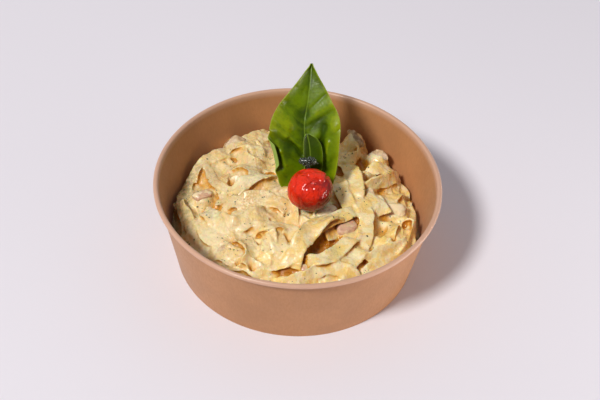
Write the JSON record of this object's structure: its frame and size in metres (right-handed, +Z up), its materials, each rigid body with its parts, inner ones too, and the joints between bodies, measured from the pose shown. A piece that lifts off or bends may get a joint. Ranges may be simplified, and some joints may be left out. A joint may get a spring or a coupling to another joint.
{
  "type": "fettuccine alfredo in a paper bowl",
  "caption": "Creamy fettuccine heaped in a round paper takeaway bowl with a rolled rim, with chicken and mushroom in it and a cherry tomato and standing basil leaf on top.",
  "frame": {"origin": "centre of the bowl's foot, on the plane it rests on", "axes": "+Z up through the bowl's axis; -Y is the front, where the cherry tomato lies before the basil leaf; +X to the right seen from the front"},
  "size_m": [0.15, 0.1498, 0.0924],
  "materials": {
    "kraft_paper": "satin",
    "creamy_pasta": "satin",
    "tomato_skin": "gloss",
    "basil": "satin",
    "basil_bud": "gloss",
    "chicken": "satin",
    "mushroom": "satin"
  },
  "bodies": {
    "root": {"bowl": "kraft_paper", "fettuccine": "creamy_pasta", "cherry_tomato": "tomato_skin", "basil_leaf": "basil", "basil_leaf_small": "basil", "basil_buds": "basil_bud", "chicken_piece_1": "chicken", "chicken_piece_2": "chicken", "chicken_piece_3": "chicken", "chicken_piece_4": "chicken", "chicken_piece_5": "chicken", "chicken_piece_6": "chicken", "mushroom_slice_1": "mushroom", "mushroom_slice_2": "mushroom", "mushroom_slice_3": "mushroom", "mushroom_slice_4": "mushroom"}
  },
  "joints": []
}
